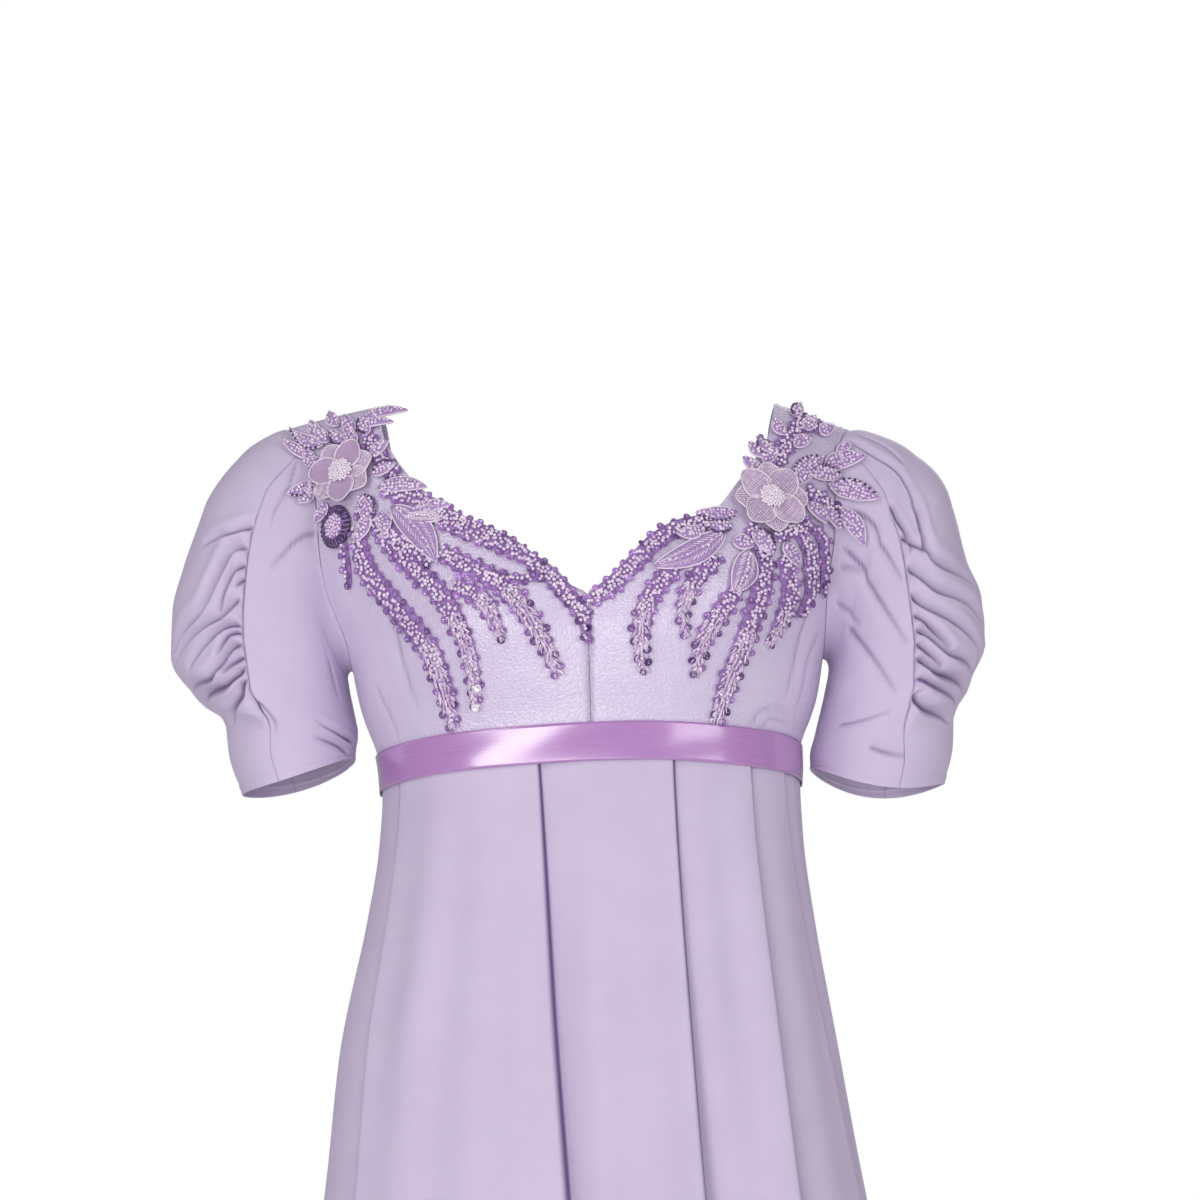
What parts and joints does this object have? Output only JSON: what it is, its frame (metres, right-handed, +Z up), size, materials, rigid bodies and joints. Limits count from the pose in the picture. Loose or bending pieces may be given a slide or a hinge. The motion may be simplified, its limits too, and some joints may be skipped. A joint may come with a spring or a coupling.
{
  "type": "regency gown",
  "caption": "Full-length empire-line gown with a V neck, short ruched puff sleeves, a satin ribbon under the bust, beaded lace at the neck and a pleated A-line skirt.",
  "frame": {"origin": "middle of the shoulder line, where the wearer's shoulders hold the gown up", "axes": "+Z up, the gown faces -Y, +X towards the wearer's left"},
  "size_m": [0.5997, 0.5219, 1.3881],
  "materials": {
    "crepe": "soft matt crepe with a faint sheen",
    "satin_ribbon": "glossy satin",
    "beaded_lace": "lace sewn with pearly seed beads and cup sequins",
    "organza": "embroidered organza",
    "dark_beads": "dark beads on cloth"
  },
  "bodies": {
    "root": {"bodice_front_right": "crepe", "bodice_front_left": "crepe", "bodice_back_right": "crepe", "bodice_back_left": "crepe", "sleeve_right_front": "crepe", "sleeve_right_ruched": "crepe", "sleeve_right_back": "crepe", "sleeve_left_front": "crepe", "sleeve_left_ruched": "crepe", "sleeve_left_back": "crepe", "skirt_front": "crepe", "skirt_back": "crepe", "ribbon": "satin_ribbon", "lace_right": "beaded_lace", "lace_left": "beaded_lace", "flower_right": "organza", "flower_left": "organza", "medallion": "dark_beads"}
  },
  "joints": []
}
